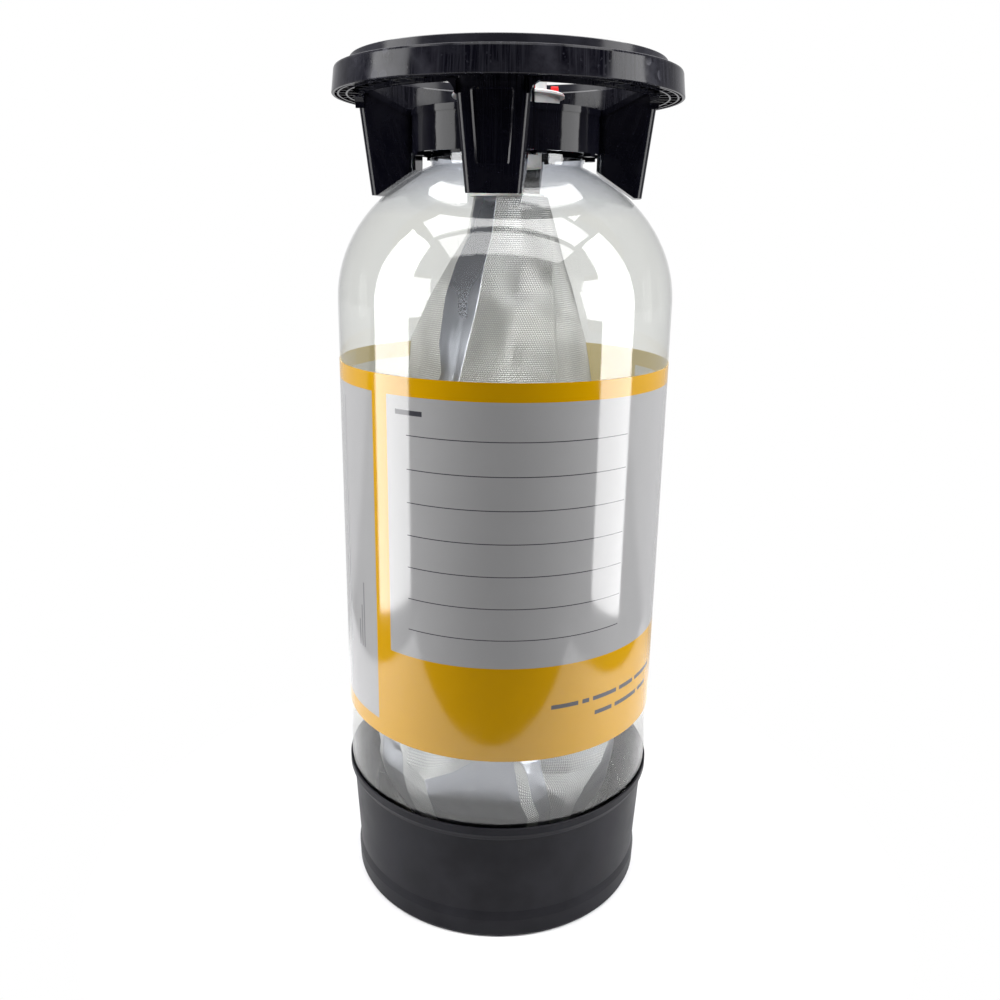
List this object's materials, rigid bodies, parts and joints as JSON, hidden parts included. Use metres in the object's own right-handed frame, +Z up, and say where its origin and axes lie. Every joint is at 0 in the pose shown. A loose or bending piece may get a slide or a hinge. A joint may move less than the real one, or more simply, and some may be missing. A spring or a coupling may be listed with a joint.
{
  "type": "beer keg",
  "caption": "One-way keg: clear PET bottle with an inner film bag, black base cup, four-legged carrying ring and a sprung two-way valve in a white neck closure.",
  "frame": {"origin": "centre of the face that the base cup stands on", "axes": "+Z up along the keg's axis; the four legs of the handle lie on the X and Y axes, and the red vent plug on +X"},
  "size_m": [0.2406, 0.2406, 0.612],
  "materials": {
    "clear_pet": "clear gloss",
    "cup_plastic": "satin black",
    "handle_plastic": "gloss black",
    "label_film": "gloss printed film",
    "bag_film": "embossed metallised film",
    "natural_plastic": "natural",
    "closure_white": "satin white",
    "valve_grey": "satin",
    "relief_red": "satin red",
    "elastomer": "matte",
    "spring_steel": "bright wire"
  },
  "bodies": {
    "keg_body": {"pet_bottle": "clear_pet", "base_cup": "cup_plastic", "handle_ring": "handle_plastic", "handle_collar": "handle_plastic", "handle_leg_front": "handle_plastic", "handle_leg_right": "handle_plastic", "handle_leg_back": "handle_plastic", "handle_leg_left": "handle_plastic", "label_wrap": "label_film", "inner_bag": "bag_film", "bag_spout": "natural_plastic", "flow_tube": "natural_plastic", "closure_cap": "closure_white", "valve_body": "natural_plastic", "relief_spring": "spring_steel", "neck_gasket": "elastomer", "body_seal": "elastomer", "gas_spring": "spring_steel", "sleeve_o_ring": "elastomer", "spout_o_ring": "elastomer"},
    "gas_valve_group": {"gas_valve": "valve_grey", "gas_seal": "elastomer", "spring_retainer": "natural_plastic", "beer_spring": "spring_steel"},
    "beer_plunger_group": {"beer_plunger": "valve_grey", "beer_seal": "elastomer"},
    "relief_plug_group": {"relief_plug": "relief_red", "relief_seal": "elastomer"}
  },
  "joints": [
    {"name": "gas_valve_slide", "type": "slide", "parent": "keg_body", "child": "gas_valve_group", "axis": [0, 0, -1], "range_m": [0, 0.005], "stiffness_N_per_m": 1200, "springref_m": -0.012, "deforming": ["gas_spring"]},
    {"name": "beer_plunger_slide", "type": "slide", "parent": "gas_valve_group", "child": "beer_plunger_group", "axis": [0, 0, -1], "range_m": [0, 0.004], "stiffness_N_per_m": 900, "springref_m": -0.01, "deforming": ["beer_spring"]},
    {"name": "relief_slide", "type": "slide", "parent": "keg_body", "child": "relief_plug_group", "axis": [0, 0, -1], "range_m": [0, 0.0012], "stiffness_N_per_m": 700, "springref_m": -0.003, "deforming": ["relief_spring"]}
  ]
}
